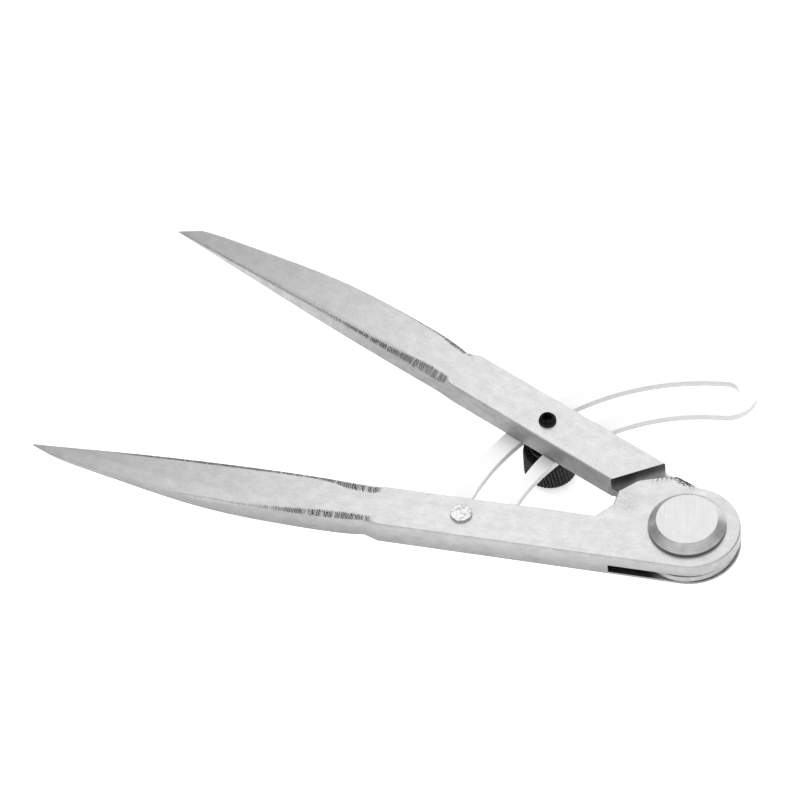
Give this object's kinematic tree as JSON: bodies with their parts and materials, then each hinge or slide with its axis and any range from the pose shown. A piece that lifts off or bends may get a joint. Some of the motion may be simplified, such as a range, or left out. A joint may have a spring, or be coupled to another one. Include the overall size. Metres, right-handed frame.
{
  "type": "divider caliper",
  "caption": "Steel divider caliper: two pointed legs on a rivet joint, held open by a slotted quadrant wing and a knurled lock screw.",
  "frame": {"origin": "on the pivot axis, at the flat back face of the pivot's back disc", "axes": "+Z along the pivot axis towards the rivet's head; the legs point along -X, and the closed position's centre plane at the modelled opening is Y = 0; the fork leg is on the -Y side"},
  "size_m": [0.1955, 0.1076, 0.0245],
  "materials": {
    "ground_steel": "ground and brushed along the leg, satin",
    "polished_steel": "bright polished sheet",
    "rivet_steel": "bright, hammered flat",
    "disc_steel": "satin, turned bevel",
    "black_oxide": "black oxide, satin"
  },
  "bodies": {
    "fork_side": {"leg_fork": "ground_steel", "quadrant_wing": "polished_steel", "wing_rivet": "rivet_steel", "pivot_rivet": "disc_steel", "pivot_back_disc": "disc_steel"},
    "tongue_side": {"leg_tongue": "ground_steel"},
    "washer": {"lock_washer": "black_oxide"},
    "lock_screw": {"lock_knob": "black_oxide", "lock_stud": "black_oxide"}
  },
  "joints": [
    {"name": "leg_open", "type": "hinge", "parent": "fork_side", "child": "tongue_side", "pos_m": [0, 0, 0.00715], "axis": [0, 0, -1], "range_deg": [-26.7, 55.5]},
    {"name": "lock_travel", "type": "slide", "parent": "tongue_side", "child": "washer", "axis": [0, 0, -1], "range_m": [0, 0.0017]},
    {"name": "lock_turn", "type": "hinge", "parent": "washer", "child": "lock_screw", "pos_m": [-0.05097, 0.01872, 0], "axis": [0, 0, -1], "range_deg": [0, 720]}
  ],
  "couplings": [
    {"joint": "lock_travel", "follows": "lock_turn", "m_per_rad": 0.00012732}
  ]
}
